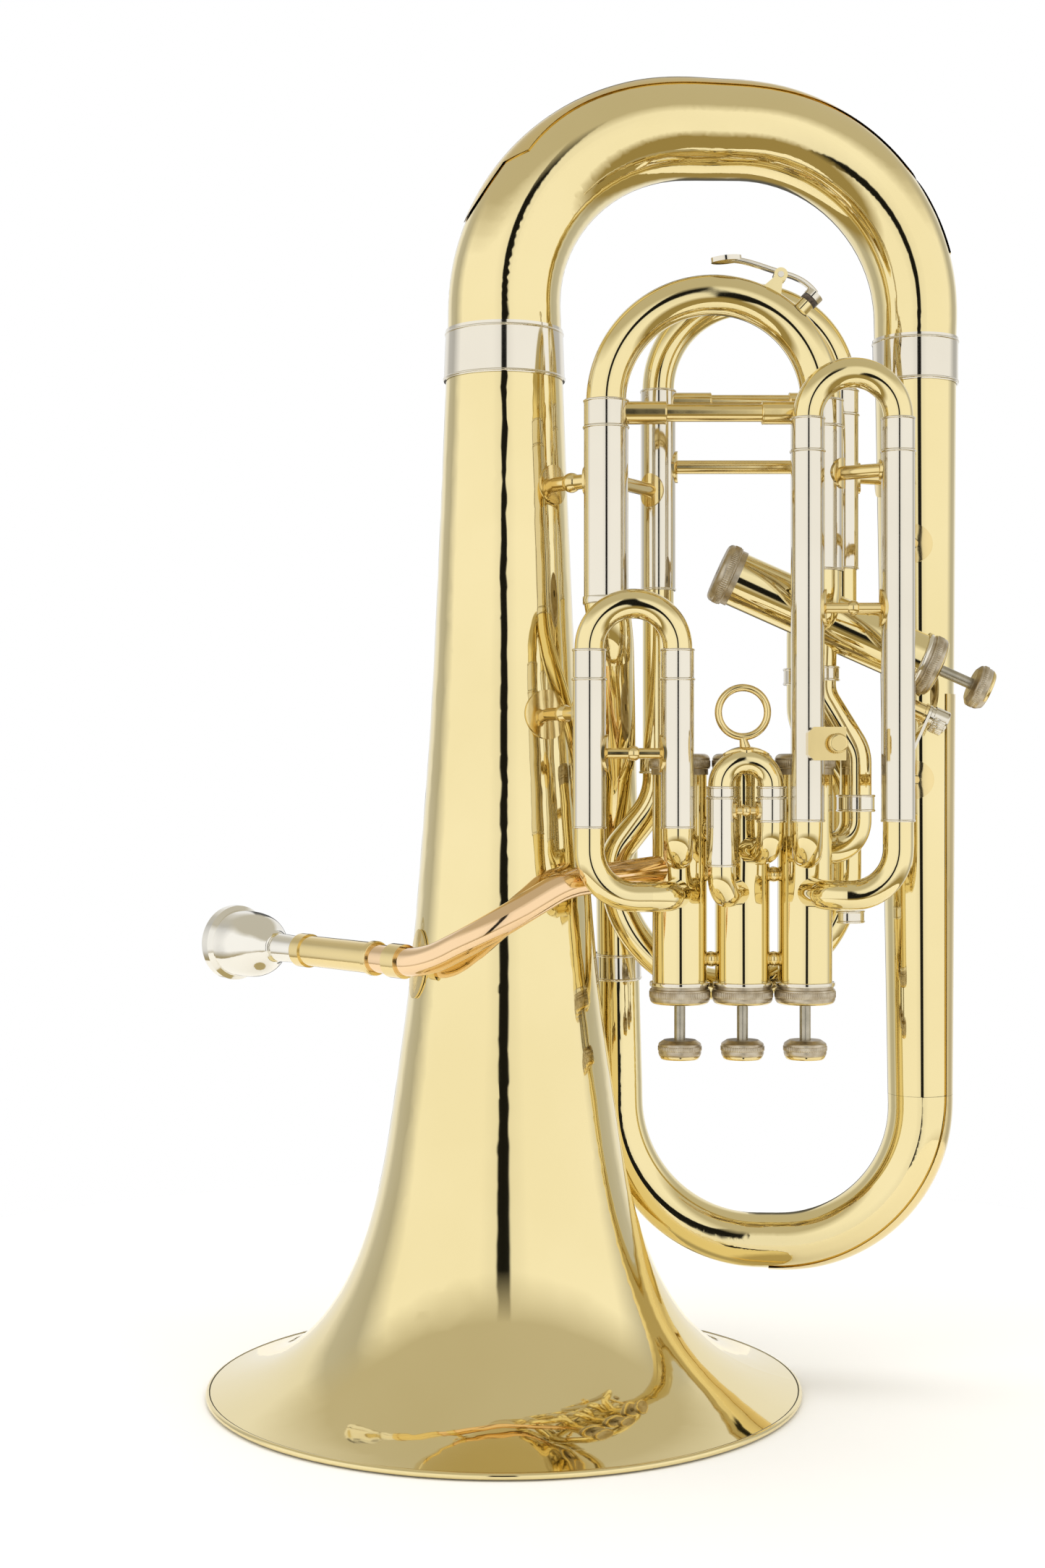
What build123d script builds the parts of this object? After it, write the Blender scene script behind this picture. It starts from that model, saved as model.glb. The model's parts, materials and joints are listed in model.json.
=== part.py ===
from build123d import *
from math import cos, radians, sin
import os

# Euphonium with three upright valves and a fourth tilted across the top of the cluster.
# It stands on its bell, so every tuning slide pulls out upward.
# Millimetres. Origin: centre of the bell mouth, in the plane of the rim. +Z runs up the bell.

# ---- general sizes -------------------------------------------------------------------
WALL = 0.7               # drawn brass tube
SOLDER = 0.02            # joint left between two soldered faces
SLIDE_FIT = 0.05         # radial clearance of a moving tube
PARTING = 0.3            # gap between a ferrule and the sleeve it lands on
BEAD = 0.6               # how far a rolled bead stands out
PAD_THICK = 1.0          # soldered pad under a stay
THROUGH = 40.0           # cutting depth that passes right through a tube

# ---- bell and main bore --------------------------------------------------------------
BELL_TOP = 497.0
BELL_WALL = 0.8
RIM_BEAD = 1.5
BELL_OUTLINE = [
    (26.85, BELL_TOP), (28.6, 450), (31.5, 382), (34.9, 313.5), (40.0, 245), (44.9, 190),
    (51.2, 142.5), (60.9, 88), (72.9, 54), (88.0, 30.5), (110.0, 12.5), (138.4, 2.7),
]
BOW_LEFT = Vector(0, 0, BELL_TOP)
BOW_RIGHT = Vector(198, 20, BELL_TOP)
BOW_RISE = 100.0
BOW_CORNER = 87.0
BOW_RADII = (26.85, 19.5)
BOW_WALL = 0.8
GUARD = 0.7              # how far a guard plate's outside stands off its tube
SEAT_GAP = 0.05          # gap under a guard plate or a short ferrule
# edge of the bow's guard: (across, up) from the middle of the bow's two feet, right to left,
# then the short edge that runs down to each side
GUARD_EDGE = [(93, 82.7), (64, 106.5), (0, 118), (-62, 107.5), (-90, 83)]
GUARD_RIGHT = [(99, 78.5), (109, 60), (115, 43)]
GUARD_LEFT = [(-101, 79), (-114, 60), (-123, 47)]
BRANCH_GUARD_TOP = 328.0
BRANCH_FOOT = Vector(200, 20, 136)
BRANCH_FOOT_R = 15.1
LOW_LEFT = Vector(56, 35, 136)
LOW_DROP = 72.4
LOW_CORNER = 67.0
LEFT_JOINT = Vector(55.2, 31.6, 196)
LEFT_R = 10.2
LEFT_BEND_LOW = Vector(54, 27, 278)
LEFT_BEND_HIGH = Vector(49, -37, 355)
END_GAP = 0.15           # how far the right branch stops short of each bow
FERRULE_TOP = 499.0
BELL_FERRULE_FOOT = 475.0
BRANCH_FERRULE_FOOT = 477.0
FERRULE_THICK = 0.8

# ---- valves --------------------------------------------------------------------------
CASING_R = 12.7
CASING_BORE = 11.5
CASING_LENGTH = 102.3
FOURTH_LENGTH = 98.2
CAP_R = 14.0
CAP_HEIGHT = 7.0
STEM_R = 2.6
BUTTON_R = 9.95
BUTTON_TOP = 23.9        # button's inner face, measured from the casing's mouth
BUTTON_HEIGHT = 8.8
CAP_PLATE = 2.6          # thickness of a cap's end plate
CAP_SKIRT = 2.7          # how far a cap's thread laps the casing
VENT_R = 2.2             # hole in the cap at a casing's far end
PISTON_LENGTH = 70.0
PISTON_WALL = 1.0
PISTON_PORTS = (18.0, 36.0, 54.0)
PORT_R = 6.2
VALVE_Y = -15.0
VALVE_SPACING = 29.2
FIRST_VALVE_X = 81.9
VALVE_MOUTH_Z = 189.7
CASING_STAY_HEIGHTS = (203.5, 243.0)
CASING_STAY_R = 2.4
STAY_BALL_R = 3.6
SHORT_LINK_Z = 264.0
SHORT_LINK_R = 6.2
FOURTH_MOUTH = Vector(195.7, VALVE_Y, 341.5)
FOURTH_AXIS = Vector(-0.9135, 0, 0.4069)

# ---- valve slides: sleeves are fixed, legs and crooks pull out upward ------------------
# x of both legs, y, sleeve radius, sleeve foot of each leg, bead height, ferrule top
# crook: outer radius of the crook; arc: height of its bend's centre
# inset: how far above the sleeve's foot each inner leg ends
# tube: radius of the elbows below the sleeves; bend: their bend radius
# port: height where each elbow enters its casing, on the slides of upright valves
MAIN = dict(
    x=(46.7, 144.6), y=-37.0, r=10.1, foot=(369.0, 382.0), inset=8.0,
    bead=448.0, top=460.0, crook=9.1, arc=459.0, tube=9.1, bend=11.5,
)
FOURTH = dict(
    x=(73.3, 160.4), y=8.0, r=8.3, foot=(377.0, 387.0), inset=8.0,
    bead=461.0, top=472.5, crook=7.5, arc=472.5, tube=7.4, bend=12.5,
)
SLIDE_1 = dict(
    x=(38.55, 78.06), y=-55.0, r=7.45, foot=(265.0, 265.0), inset=8.0,
    bead=332.4, top=345.5, crook=6.65, arc=346.0, tube=6.8, bend=11.5, port=(234.3, 253.1),
)
SLIDE_2 = dict(
    x=(97.9, 120.7), y=-50.0, r=6.6, foot=(247.7, 267.6), inset=1.0,
    bead=279.3, top=284.0, crook=5.8, arc=284.0, tube=6.2, bend=11.5, port=(235.0, 254.5),
)
SLIDE_3 = dict(
    x=(136.3, 176.8), y=-55.0, r=7.5, foot=(268.0, 268.0), inset=8.0,
    bead=434.4, top=449.0, crook=6.7, arc=449.0, tube=6.8, bend=12.5, port=(253.5, 234.9),
)
SLIDES = [(MAIN, "main"), (FOURTH, "fourth"), (SLIDE_1, "first"), (SLIDE_2, "second"), (SLIDE_3, "third")]
SLEEVE_WALL = 0.6
CROSS_BENDS = [21, 10]   # bend radii of an elbow that crosses in front of its casing
FIRST_CROSS_X = 73.5
THIRD_CROSS_X = 146.5
RING_R = 12.7            # finger ring, outside
RING_WIRE = 1.65

# ---- water key on the main crook, in degrees from +X about the bend's centre -------------
PIVOT_ANGLE = 62.2
PIVOT_LIFT = 16.2
KEY_ANGLE = 46.7
CORK_HEIGHT = 2.6
POST_Y = 3.0
NIPPLE_R = 3.6
NIPPLE_HEIGHT = 4.2
DRAIN_R = 2.2
PIVOT_HOLE_R = 1.45
PIVOT_PIN_R = 1.4
HUB_R = 2.9
CUP_R = 4.3
CUP_HEIGHT = 3.0
KEY_TOUCH = Vector(101.5, -37.0, 524.2)
KEY_NECK = Vector(108, -37.0, 523.6)

# ---- leadpipe and mouthpiece -----------------------------------------------------------
PIPE_R = 6.6
MOUTH_AXIS = Vector(-0.6816, 0.7316, 0.0137)
MOUTH_START = Vector(-38.5, -40.0, 203.5)
RECEIVER_NEAR = 30.0
RECEIVER_FAR = 88.0
RECEIVER_R = 7.3
RECEIVER_BEAD = 0.8      # how far each end bead of the receiver stands out
PIPE_BENDS = [Vector(-6, -58, 220), Vector(28, -44.5, 240)]
PIPE_BEND_R = 42.0
PIPE_PORT_Z = 246.5
SHANK_END = 60.0
SHANK_TIP_R = 5.85
SHANK_MOUTH_R = 6.25     # where the shank leaves the receiver
BACKBORE_R = 4.9
THROAT_R = 3.4
RIM_R = 18.55
BITE_R = 12.9            # inner edge of the rim
RIM_FACE = 147.0
RIM_HEIGHT = 6.5
# (radius, distance along the axis): collar, outside of the bowl, inside of the cup
COLLAR_OUTLINE = [(6.9, 104), (6.0, 107)]
BOWL_OUTLINE = [(8.2, 109.5), (13.4, 117), (16.2, 128), (16.6, 138.5)]
CUP_OUTLINE = [(12.2, 136), (8.6, 122), (THROAT_R, 113)]

# ---- small fittings ----------------------------------------------------------------------
LYRE_X = 147.0
LYRE_Y = -65.8
LYRE_Z = 302.9
LYRE_BORE = 2.0
LYRE_LOW = 295.4
LYRE_HIGH = 310.2
SCREW_R = 1.5
SCREW_HOLE_R = 1.55
THUMB_END = Vector(196.5, -15.0, 317.5)
PLATE_DROP = 12.0        # from the hand-rest plate's screw to the middle of the plate

# ---- loop and link behind the valves ---------------------------------------------------
LOOP_R = 7.4
LOOP_Y = 8.0
LOOP_LEFT = 52.8
LOOP_RIGHT = 162.7
LOOP_BOTTOM = 189.0
LOOP_PORT_X = 142.0      # where the loop enters the tilted casing
LINK_X = 164.6
LINK_Y = -10.0
LINK_LOW = 255.0
LINK_PORT_X = 148.0
# x, y, foot and top of each short ferrule on the loop and the link
TUBE_FERRULES = [
    (LINK_X, LINK_Y, 272, 280), (LOOP_RIGHT, LOOP_Y, 219, 225), (LINK_PORT_X, -10.9, 333, 340),
    (FOURTH["x"][0], LOOP_Y, 290, 298), (LOOP_PORT_X, LOOP_Y, 332, 340),
]

# ---- stays on the slide tubes: pad half sizes, across the tube and along it -----------------
PAD_SMALL = (4.6, 4.2)
PAD_TALL = (5.5, 8.5)
PAD_MID = (6.0, 7.5)
PAD_BRANCH = (9.3, 9.3)


# ---- shapes that many pieces share -----------------------------------------------------
def route(*points, radius):
    """Centreline of straight runs joined by tangent arcs."""
    with BuildLine():
        path = FilletPolyline(*points, radius=radius)
    return path


def pipe(path, outer, inner=0.0, mode=Mode.ADD):
    """Sweep a round tube, or a rod when it has no bore, along a centreline."""
    with BuildSketch(Plane(origin=path @ 0, z_dir=path % 0)) as section:
        Circle(outer)
        if inner > 0:
            Circle(inner, mode=Mode.SUBTRACT)
    sweep(sections=section.sketch, path=path, mode=mode)


def tapered_pipe(path, across, start_r, end_r, wall, steps=24):
    """Loft a tube whose radius changes evenly along its centreline."""
    for shrink, mode in ((0.0, Mode.ADD), (wall, Mode.SUBTRACT)):
        sections = []
        for step in range(steps + 1):
            t = step / steps
            with BuildSketch(Plane(origin=path @ t, x_dir=across, z_dir=path % t)) as ring:
                Circle(start_r + (end_r - start_r) * t - shrink)
            sections.append(ring.sketch)
        loft(sections, mode=mode)


def frustum(start, end, start_r, end_r, mode=Mode.ADD):
    """Straight round bar between two points, cylindrical or conical."""
    axis = Vector(end) - Vector(start)
    base = (Align.CENTER, Align.CENTER, Align.MIN)
    with Locations(Plane(origin=start, z_dir=axis).location):
        if abs(start_r - end_r) < 1e-6:
            Cylinder(start_r, axis.length, align=base, mode=mode)
        else:
            Cone(start_r, end_r, axis.length, align=base, mode=mode)


def rod(start, end, radius, mode=Mode.ADD):
    """Straight round bar of one radius."""
    frustum(start, end, radius, radius, mode)


def bead(centre, axis, radius, thick=BEAD, mode=Mode.ADD):
    """Rolled bead round a tube."""
    with Locations(Plane(origin=centre, z_dir=axis).location):
        Torus(radius, thick, mode=mode)


def turned(frame, points, rounds=()):
    """Revolve a closed outline of (radius, height) points about a frame's Z axis."""
    side = Plane(origin=frame.origin, x_dir=frame.x_dir, z_dir=frame.y_dir * -1)
    with BuildSketch(side) as half:
        with BuildLine():
            Polyline(*points, close=True)
        make_face()
        for corner, radius in rounds:
            fillet(half.vertices().sort_by_distance(corner)[0], radius)
    revolve(half.sketch, axis=Axis(frame.origin, frame.z_dir))


def saddle(tube, toward, wide, tall):
    """Oval pad wrapped round a tube, on the side that faces toward."""
    start, end, start_r, end_r = tube
    axis = Vector(end) - Vector(start)
    middle = (Vector(end) + Vector(start)) * 0.5
    with BuildPart() as pad:
        frustum(start, end, start_r + PAD_THICK, end_r + PAD_THICK)
        frustum(start, end, start_r + SOLDER, end_r + SOLDER, mode=Mode.SUBTRACT)
        with BuildSketch(Plane(origin=middle, x_dir=axis, z_dir=toward)) as face:
            Ellipse(tall, wide)
        extrude(face.sketch, amount=start_r + end_r, mode=Mode.INTERSECT)
    return pad.part


def upright(x, y, z, radius, half=14.0, slope=0.0):
    """A short stretch of an upright tube, as a stay sees it."""
    return (x, y, z - half), (x, y, z + half), radius + slope * half, radius - slope * half


def stay(tube_a, tube_b, radius, pad_a, pad_b, collar=0.0):
    """Round stay between two tubes, with a soldered pad on each and a collar midway."""
    centre_a = (Vector(tube_a[0]) + Vector(tube_a[1])) * 0.5
    centre_b = (Vector(tube_b[0]) + Vector(tube_b[1])) * 0.5
    across = centre_b - centre_a
    pads = [saddle(tube_a, across, *pad_a), saddle(tube_b, across * -1, *pad_b)]
    run_a = tube_a[2]
    run_b = across.length - tube_b[2]
    middle = centre_a + across.normalized() * ((run_a + run_b) / 2)
    with BuildPart() as piece:
        rod(centre_a, centre_b, radius)
        if collar > 0:
            with Locations(Plane(origin=middle, z_dir=across).location):
                Sphere(collar)
        add(pads)
        for start, end, start_r, end_r in (tube_a, tube_b):
            frustum(start, end, start_r + SOLDER, end_r + SOLDER, mode=Mode.SUBTRACT)
    return piece.part


def finish(builder, name):
    """Label a finished piece and write it."""
    builder.part.label = name
    export_step(builder.part, f"parts/{name}.step")


# ---- bell and bows ---------------------------------------------------------------------
def bell_section():
    """Right half of the bell's wall, with the rolled bead at its rim."""
    with BuildSketch(Plane.XZ) as wall:
        with BuildLine():
            outside = Spline(*BELL_OUTLINE, tangents=((0.037, -1), (1, -0.22)))
            samples = [i / 24 for i in range(25)]
            inner_points = [
                outside @ t - (outside % t).rotate(Axis.Z, 90) * BELL_WALL for t in samples
            ]
            inside = Spline(*inner_points)
            Line(outside @ 0, inside @ 0)
            Line(outside @ 1, inside @ 1)
        make_face()
        with Locations((BELL_OUTLINE[-1][0], RIM_BEAD)):
            Circle(RIM_BEAD)
    return wall.sketch


def make_bell():
    """Bell spun from its section, with the rolled bead round its mouth."""
    section = bell_section()
    with BuildPart() as bell:
        revolve(section, axis=Axis.Z)
    finish(bell, "bell")


def beaded_ring(start, end, radii, thick, edges):
    """Ferrule over a joint, with a bead near each of its edges."""
    start, end = Vector(start), Vector(end)
    axis = end - start
    with BuildPart() as ring:
        frustum(start, end, radii[0] + thick, radii[1] + thick)
        for t in edges:
            radius = radii[0] + (radii[1] - radii[0]) * t + thick
            bead(start + axis * t, axis, radius - 0.2)
        over = axis.normalized() * BEAD
        frustum(start - over, end + over, radii[0], radii[1], mode=Mode.SUBTRACT)
    return ring.part


def bow_route():
    """Centreline of the top bow, from the bell over to the right branch."""
    top = Vector(0, 0, BOW_RISE)
    return route(BOW_LEFT, BOW_LEFT + top, BOW_RIGHT + top, BOW_RIGHT, radius=BOW_CORNER)


def bow_normal():
    """Direction square to the plane of the top bow."""
    return (BOW_RIGHT - BOW_LEFT).cross(Vector(0, 0, 1)).normalized()


def make_top_bow():
    """Tapered tube over the top of the instrument."""
    with BuildPart() as top_bow:
        tapered_pipe(bow_route(), bow_normal(), *BOW_RADII, BOW_WALL)
    finish(top_bow, "top_bow")


def make_top_bow_guard():
    """Plate soldered over the outside of the bow, its edge cut in a shallow cusp each side."""
    beyond = 60.0
    side = (BOW_RIGHT - BOW_LEFT).length / 2 + beyond
    top = BOW_RISE + beyond
    centre = (BOW_LEFT + BOW_RIGHT) * 0.5
    face = Plane(origin=centre, x_dir=BOW_RIGHT - BOW_LEFT, z_dir=bow_normal())
    shell = [r + GUARD for r in BOW_RADII]
    with BuildSketch(face) as zone:
        with BuildLine():
            edge = Spline(*GUARD_EDGE)
            Polyline(edge @ 0, *GUARD_RIGHT)
            Polyline(edge @ 1, *GUARD_LEFT)
            right_foot, left_foot = GUARD_RIGHT[-1], GUARD_LEFT[-1]
            corners = [(-side, left_foot[1]), (-side, top), (side, top), (side, right_foot[1])]
            Polyline(left_foot, *corners, right_foot)
        make_face()
    with BuildPart() as guard:
        tapered_pipe(bow_route(), bow_normal(), *shell, GUARD - SEAT_GAP)
        extrude(zone.sketch, amount=THROUGH, both=True, mode=Mode.INTERSECT)
    finish(guard, "top_bow_guard")


def make_right_branch():
    """Conical tube from the top bow down to the bottom bow."""
    low, high = branch_point(BRANCH_FOOT.Z + END_GAP), branch_point(BOW_RIGHT.Z - END_GAP)
    with BuildPart() as right_branch:
        frustum(low, high, BRANCH_FOOT_R, BOW_RADII[1])
        frustum(low, high, BRANCH_FOOT_R - WALL, BOW_RADII[1] - WALL, mode=Mode.SUBTRACT)
    finish(right_branch, "right_branch")


def low_route():
    """Centreline of the bottom bow, from the right branch round to the left branch."""
    drop = Vector(0, 0, -LOW_DROP)
    return route(
        BRANCH_FOOT, BRANCH_FOOT + drop, LOW_LEFT + drop, LOW_LEFT, LEFT_JOINT,
        radius=[LOW_CORNER, LOW_CORNER, 60],
    )


def low_normal():
    """Direction square to the plane of the bottom bow."""
    return (BRANCH_FOOT - LOW_LEFT).cross(Vector(0, 0, 1)).normalized()


def make_bottom_bow():
    """Tapered tube round the bottom of the instrument."""
    with BuildPart() as bottom_bow:
        tapered_pipe(low_route(), low_normal(), BRANCH_FOOT_R, LEFT_R, WALL, steps=30)
    finish(bottom_bow, "bottom_bow")


def branch_radius(z):
    """Outer radius of the right branch at a height."""
    share = (z - BRANCH_FOOT.Z) / (BOW_RIGHT.Z - BRANCH_FOOT.Z)
    return BRANCH_FOOT_R + (BOW_RADII[1] - BRANCH_FOOT_R) * share


def branch_point(z):
    """Point on the right branch's centreline at a height."""
    share = (z - BRANCH_FOOT.Z) / (BOW_RIGHT.Z - BRANCH_FOOT.Z)
    return BRANCH_FOOT + (BOW_RIGHT - BRANCH_FOOT) * share


def make_branch_guard():
    """Strip soldered along the outside of the branch and halfway round the bottom bow."""
    inner_edge = LOW_DROP + 12.0
    reach, below = 130.0, 120.0
    centre = (BRANCH_FOOT + LOW_LEFT) * 0.5
    face = Plane(origin=centre, x_dir=BRANCH_FOOT - LOW_LEFT, z_dir=low_normal())
    height = BRANCH_GUARD_TOP - BRANCH_FOOT.Z
    with BuildSketch(face) as zone:
        with Locations((reach / 2, (height - below) / 2)):
            Rectangle(reach, height + below)
        Circle(inner_edge, mode=Mode.SUBTRACT)
        with Locations((inner_edge / 2, height / 2)):
            Rectangle(inner_edge, height + 1, mode=Mode.SUBTRACT)
    foot, head = BRANCH_FOOT, branch_point(BRANCH_GUARD_TOP)
    foot_r, head_r = BRANCH_FOOT_R, branch_radius(BRANCH_GUARD_TOP)
    with BuildPart() as guard:
        frustum(foot, head, foot_r + GUARD, head_r + GUARD)
        frustum(foot, head, foot_r + SEAT_GAP, head_r + SEAT_GAP, mode=Mode.SUBTRACT)
        ends = (foot_r + GUARD, LEFT_R + GUARD)
        tapered_pipe(low_route(), low_normal(), *ends, GUARD - SEAT_GAP, steps=30)
        extrude(zone.sketch, amount=THROUGH, both=True, mode=Mode.INTERSECT)
    finish(guard, "branch_guard")


def make_left_branch():
    """Tube from the bottom bow up to the foot of the main slide."""
    foot = Vector(MAIN["x"][0], MAIN["y"], MAIN["foot"][0])
    path = route(LEFT_JOINT, LEFT_BEND_LOW, LEFT_BEND_HIGH, foot, radius=[60, 35])
    with BuildPart() as left_branch:
        pipe(path, LEFT_R, LEFT_R - WALL)
    finish(left_branch, "left_branch")


def make_bore_ferrules():
    """Ferrules that join the lengths of the main tapered tubing."""
    way = (LEFT_JOINT - LOW_LEFT).normalized()
    foot, top = branch_point(BRANCH_FERRULE_FOOT), branch_point(FERRULE_TOP)
    upper = beaded_ring(foot, top, (19.4, 19.65), FERRULE_THICK, (0.05, 0.92))
    foot, top = LEFT_JOINT - way * 6, LEFT_JOINT + way * 7
    lower = beaded_ring(foot, top, (10.42, 10.3), FERRULE_THICK, (0.06, 0.94))
    foot, top = (0, 0, BELL_FERRULE_FOOT), (0, 0, FERRULE_TOP)
    with BuildPart() as bell_ferrule:
        add(beaded_ring(foot, top, (27.85, 26.95), FERRULE_THICK - 0.05, (0.04, 0.92)))
    with BuildPart() as branch_ferrules:
        add([upper, lower])
    finish(bell_ferrule, "bell_ferrule")
    finish(branch_ferrules, "branch_ferrules")


# ---- tubes that enter a valve casing end on its axis ------------------------------------
def valve_x(number):
    """X of an upright valve, counted from 1."""
    return FIRST_VALVE_X + VALVE_SPACING * (number - 1)


def valve_axis(number, z):
    """Point on an upright valve's axis at a height."""
    return Vector(valve_x(number), VALVE_Y, z)


def fourth_axis(x):
    """Point on the tilted valve's axis at an x."""
    return FOURTH_MOUTH + FOURTH_AXIS * ((x - FOURTH_MOUTH.X) / FOURTH_AXIS.X)


def leadpipe_route():
    """Centreline of the leadpipe, from the receiver to the first casing."""
    start = MOUTH_START + MOUTH_AXIS * (RECEIVER_NEAR + 6)
    return route(
        start, MOUTH_START - MOUTH_AXIS * 4, *PIPE_BENDS, valve_axis(1, PIPE_PORT_Z),
        radius=[PIPE_BEND_R] * 3,
    )


def elbow_route(slide, side, end):
    """From a sleeve's foot straight down, then into a casing."""
    x, y = slide["x"][side], slide["y"]
    return route((x, y, slide["foot"][side]), (x, y, end.Z), end, radius=slide["bend"])


def cross_route(slide, side, turn_x, end):
    """From a sleeve's foot down, across in front of the casing and into it."""
    x, y = slide["x"][side], slide["y"]
    corner = (turn_x, y + 3, end.Z)
    return route((x, y, slide["foot"][side]), (x, y, end.Z), corner, end, radius=CROSS_BENDS)


def knuckle_routes():
    """Centreline, tube radius and valve of every elbow between a sleeve and a casing."""
    elbows = []
    for number, slide in ((1, SLIDE_1), (2, SLIDE_2), (3, SLIDE_3)):
        for side, z in enumerate(slide["port"]):
            end = valve_axis(number, z)
            if (number, side) == (1, 0):
                path = cross_route(slide, side, FIRST_CROSS_X, end)
            elif (number, side) == (3, 1):
                path = cross_route(slide, side, THIRD_CROSS_X, end)
            else:
                path = elbow_route(slide, side, end)
            elbows.append((path, slide["tube"], number))
    for slide in (MAIN, FOURTH):
        end = fourth_axis(slide["x"][1])
        elbows.append((elbow_route(slide, 1, end), slide["tube"], 4))
    return elbows


def loop_route():
    """Centreline of the loop behind the valves, from the fourth slide to the fourth casing."""
    x, y = FOURTH["x"][0], LOOP_Y
    end = fourth_axis(LOOP_PORT_X)
    half = (LOOP_RIGHT - LOOP_LEFT) / 2 - 0.05
    return route(
        (x, y, FOURTH["foot"][0]), (x, y, 278), (LOOP_LEFT, y, 252), (LOOP_LEFT, y, LOOP_BOTTOM),
        (LOOP_RIGHT, y, LOOP_BOTTOM), (LOOP_RIGHT, y, 285), (end.X, y, 315), (end.X, y, end.Z), end,
        radius=[30, 20, half, half, 22, 22, 12.5],
    )


def link_route():
    """Centreline of the tube between the third and fourth casings."""
    return route(
        valve_axis(3, LINK_LOW), (LINK_X, LINK_Y, LINK_LOW), (LINK_X, LINK_Y, 300),
        (LINK_PORT_X, LINK_Y, 327), fourth_axis(LINK_PORT_X), radius=[13, 18, 18],
    )


def short_links():
    """Ends of the short tubes between neighbouring upright casings."""
    return [(valve_axis(n, SHORT_LINK_Z), valve_axis(n + 1, SHORT_LINK_Z)) for n in (1, 2)]


def clear_casing(number, mode=Mode.SUBTRACT):
    """Cut a casing's outside away from the part being built."""
    frame = valve_frame(number)
    end = frame.origin + frame.z_dir * valve_length(number)
    rod(frame.origin, end, CASING_R + SOLDER, mode)


def make_knuckles():
    """Elbows between the sleeves and the casings."""
    with BuildPart() as valve_knuckles:
        for path, radius, _ in knuckle_routes():
            pipe(path, radius, radius - WALL)
        for number in (1, 2, 3, 4):
            clear_casing(number)
    finish(valve_knuckles, "valve_knuckles")


def make_leadpipe():
    """Tube from the receiver to the first casing."""
    with BuildPart() as leadpipe:
        pipe(leadpipe_route(), PIPE_R, PIPE_R - WALL)
        clear_casing(1)
    finish(leadpipe, "leadpipe")


def make_loop():
    """Long loop that passes behind the upright valves."""
    with BuildPart() as fourth_loop:
        pipe(loop_route(), LOOP_R, LOOP_R - WALL)
        clear_casing(4)
    finish(fourth_loop, "fourth_loop")


def make_links():
    """Short tubes from each casing to the next."""
    with BuildPart() as valve_links:
        pipe(link_route(), LOOP_R, LOOP_R - WALL)
        for start, end in short_links():
            rod(start, end, SHORT_LINK_R)
            rod(start, end, SHORT_LINK_R - WALL, mode=Mode.SUBTRACT)
        for number in (1, 2, 3, 4):
            clear_casing(number)
    finish(valve_links, "valve_links")


def make_tube_ferrules():
    """Short nickel ferrules where the loop and the link are joined."""
    with BuildPart() as tube_ferrules:
        for x, y, low, high in TUBE_FERRULES:
            rod((x, y, low), (x, y, high), LOOP_R + 1.4)
            bead((x, y, low + BEAD), (0, 0, 1), LOOP_R + 1.2)
            bead((x, y, high - BEAD), (0, 0, 1), LOOP_R + 1.2)
        for path in (link_route(), loop_route()):
            pipe(path, LOOP_R + SEAT_GAP, mode=Mode.SUBTRACT)
    finish(tube_ferrules, "tube_ferrules")


# ---- valves ----------------------------------------------------------------------------
def valve_frame(number):
    """Frame at a casing's mouth. Z runs into the casing, the way its button is pressed."""
    if number == 4:
        return Plane(origin=FOURTH_MOUTH, x_dir=(0, 1, 0), z_dir=FOURTH_AXIS)
    return Plane(origin=valve_axis(number, VALVE_MOUTH_Z), x_dir=(1, 0, 0), z_dir=(0, 0, 1))


def valve_length(number):
    """Length of a casing without its caps."""
    return FOURTH_LENGTH if number == 4 else CASING_LENGTH


def make_casing(number):
    """Valve casing with a port wherever a tube meets it."""
    frame = valve_frame(number)
    end = frame.origin + frame.z_dir * valve_length(number)
    ports = [(path, radius) for path, radius, home in knuckle_routes() if home == number]
    if number == 1:
        ports.append((leadpipe_route(), PIPE_R))
    if number == 4:
        ports += [(loop_route(), LOOP_R), (link_route(), LOOP_R)]
    with BuildPart() as casing:
        rod(frame.origin, end, CASING_R)
        rod(frame.origin, end, CASING_BORE, mode=Mode.SUBTRACT)
        for path, radius in ports:
            rod(path @ 1 - (path % 1) * 20, path @ 1, radius - WALL, mode=Mode.SUBTRACT)
        if number == 3:
            start = link_route() @ 0
            rod(start, start + (link_route() % 0) * 20, LOOP_R - WALL, mode=Mode.SUBTRACT)
        for start, finish_at in short_links():
            rod(start, finish_at, SHORT_LINK_R - WALL, mode=Mode.SUBTRACT)
    finish(casing, f"casing_{number}")


def cap_outline(direction, hole):
    """Outline of a knurled screw cap whose mouth is at height 0; direction is its outward side."""
    plate = CAP_HEIGHT - CAP_PLATE
    skirt, thread, seat = CASING_R + 0.55, CASING_R + 0.05, 0.03
    return [
        (hole, direction * CAP_HEIGHT), (CAP_R, direction * CAP_HEIGHT), (CAP_R, 0),
        (skirt, 0), (skirt, -direction * CAP_SKIRT), (thread, -direction * CAP_SKIRT),
        (thread, direction * seat), (CASING_BORE, direction * seat),
        (CASING_BORE, direction * plate), (hole, direction * plate),
    ]


def make_caps(number):
    """Both caps of one casing."""
    mouth = valve_frame(number)
    far = mouth.offset(valve_length(number))
    with BuildPart() as caps:
        for frame, direction, hole in ((mouth, -1, STEM_R + 0.5), (far, 1, VENT_R)):
            rounds = [((CAP_R, direction * CAP_HEIGHT), 2.6), ((CAP_R, 0), 0.6)]
            turned(frame, cap_outline(direction, hole), rounds)
    finish(caps, f"caps_{number}")


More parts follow.
